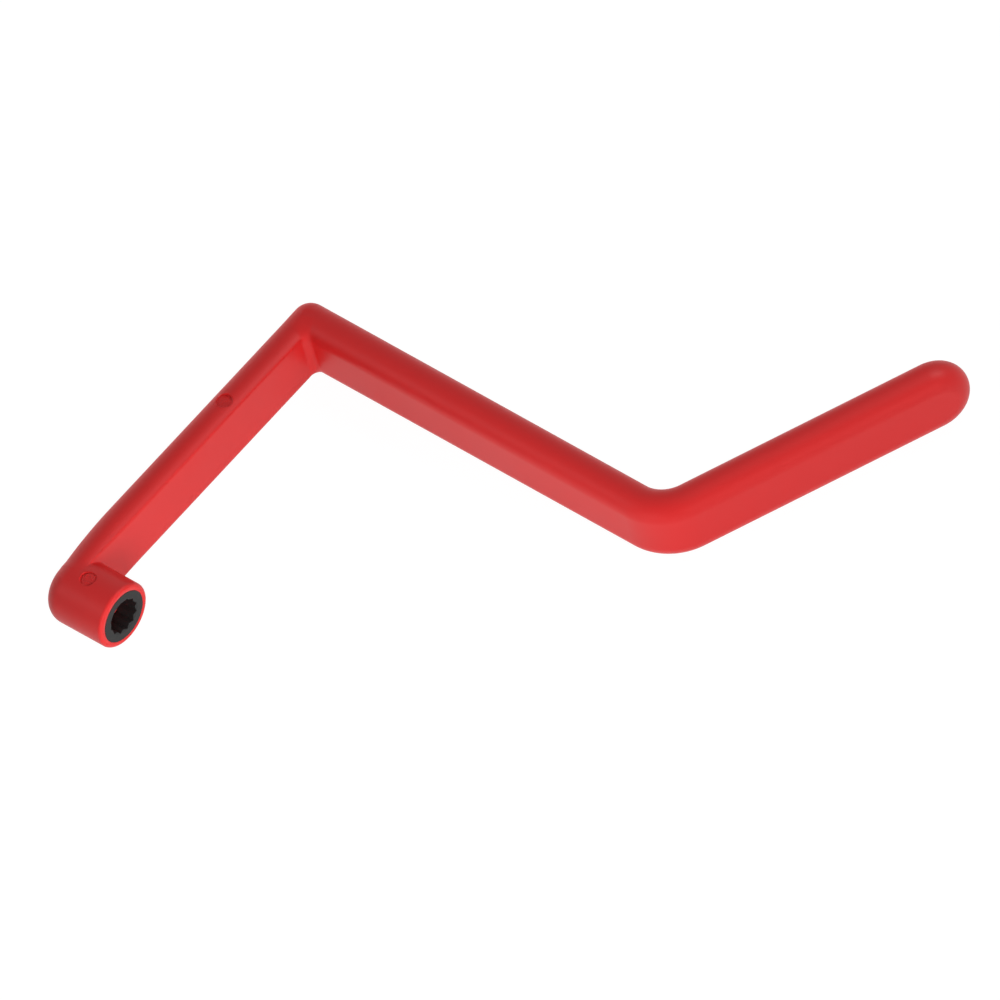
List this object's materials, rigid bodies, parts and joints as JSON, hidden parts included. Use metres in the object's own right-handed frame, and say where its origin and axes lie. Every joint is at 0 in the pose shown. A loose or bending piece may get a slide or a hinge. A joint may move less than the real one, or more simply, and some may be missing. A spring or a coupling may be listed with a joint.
{
  "type": "curved socket wrench",
  "caption": "Insulated cranked socket wrench: a steel twelve-point socket at the end of a flat arm, a square bend into a middle bar and an open bend into the handle.",
  "frame": {"origin": "centre of the socket's mouth", "axes": "+X out of the mouth along the socket's axis, +Y up the arm away from the socket, +Z square to the plane of the bends"},
  "size_m": [0.222, 0.2525, 0.028],
  "materials": {
    "insulation": "satin moulded insulation",
    "socket_steel": "black phosphated",
    "core_steel": "rolled bar",
    "weld": "ground weld"
  },
  "bodies": {
    "root": {"insulating_cover": "insulation", "socket": "socket_steel", "arm_bar": "core_steel", "handle_bar": "core_steel", "socket_weld": "weld", "corner_weld": "weld"}
  },
  "joints": []
}
